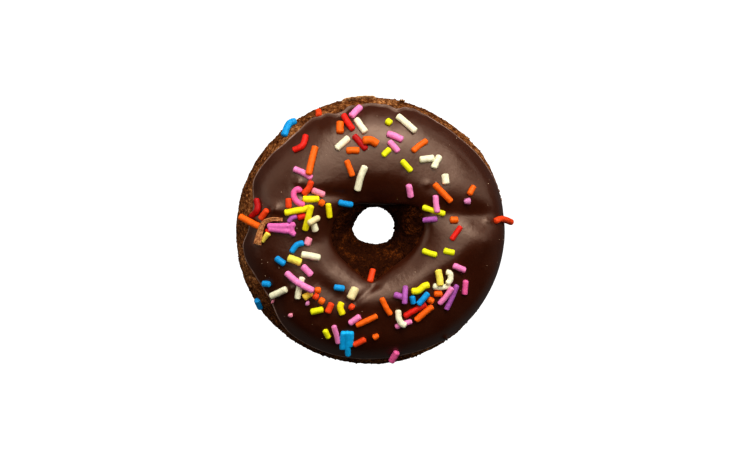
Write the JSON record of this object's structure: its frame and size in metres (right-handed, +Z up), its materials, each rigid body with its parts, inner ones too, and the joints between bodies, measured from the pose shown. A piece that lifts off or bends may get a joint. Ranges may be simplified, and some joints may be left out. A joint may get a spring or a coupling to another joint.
{
  "type": "sprinkle frosted doughnut",
  "caption": "Chocolate ring doughnut with smooth chocolate icing over its top and scattered coloured sugar sprinkles.",
  "frame": {"origin": "on the surface the doughnut rests on, under the middle of its outer box", "axes": "+Z up out of the iced top, through the hole; +X and +Y along the surface it rests on"},
  "size_m": [0.0846, 0.0816, 0.0321],
  "materials": {
    "chocolate_cake": "matte, open crumb",
    "chocolate_icing": "satin, set chocolate, with sugar sprinkles in eight colours"
  },
  "bodies": {
    "root": {"cake": "chocolate_cake", "icing": "chocolate_icing"}
  },
  "joints": []
}
